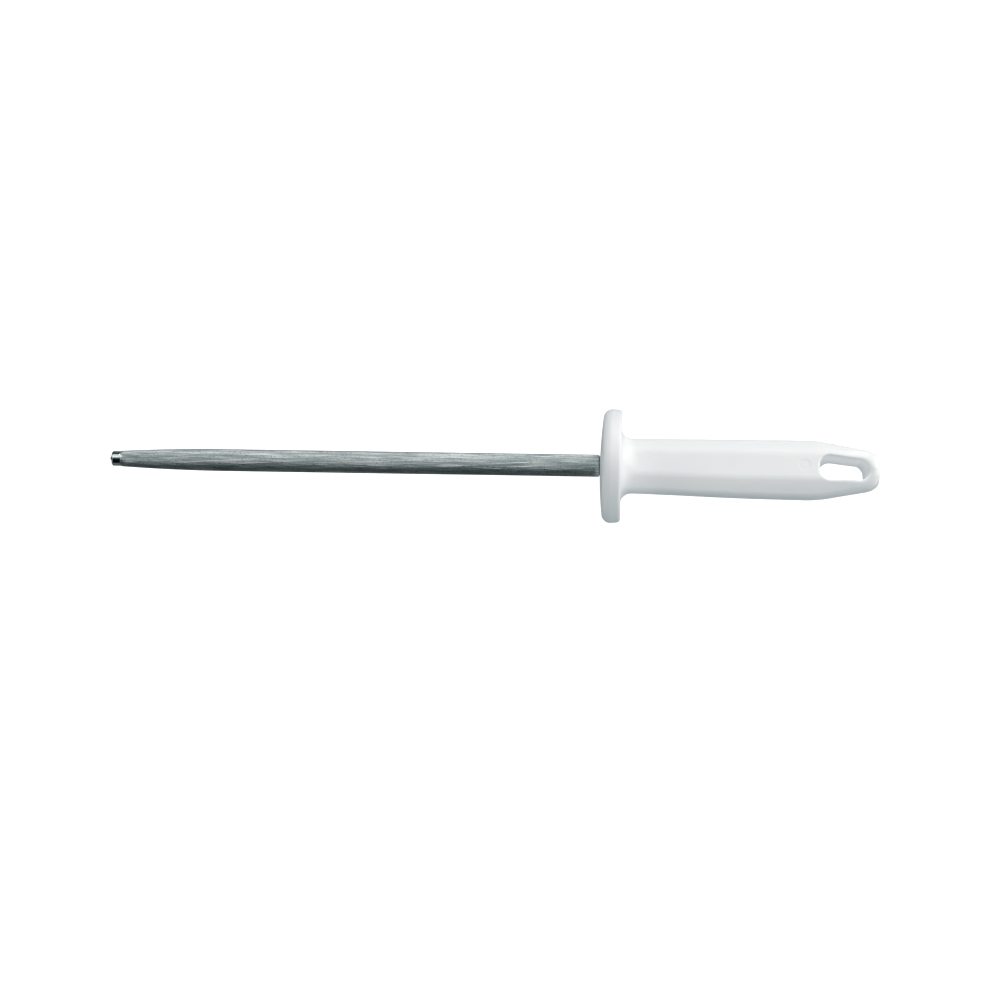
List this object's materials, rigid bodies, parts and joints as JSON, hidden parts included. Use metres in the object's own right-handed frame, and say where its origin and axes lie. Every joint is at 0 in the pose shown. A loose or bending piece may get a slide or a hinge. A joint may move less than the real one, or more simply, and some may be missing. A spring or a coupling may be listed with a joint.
{
  "type": "knife sharpening steel",
  "caption": "Butcher's sharpening steel: a tapered round fluted steel rod with a polished tip, moulded into a white plastic handle with a disc guard and a hanging slot.",
  "frame": {"origin": "on the rod's axis, halfway between the rod's point and the butt of the handle", "axes": "+X along the rod from its point to the butt; +Z out of one flat side of the grip, along the hanging slot's axis; +Y across the grip, in the direction it is taller"},
  "size_m": [0.3984, 0.059, 0.059],
  "materials": {
    "fluted_steel": "hard steel with fine lengthwise flutes, satin, cool grey",
    "polished_steel": "turned and polished end of the same bar, mirror bright",
    "white_plastic": "moulded white polypropylene, smooth with a soft sheen"
  },
  "bodies": {
    "root": {"steel_bar": "fluted_steel", "handle": "white_plastic"}
  },
  "joints": []
}
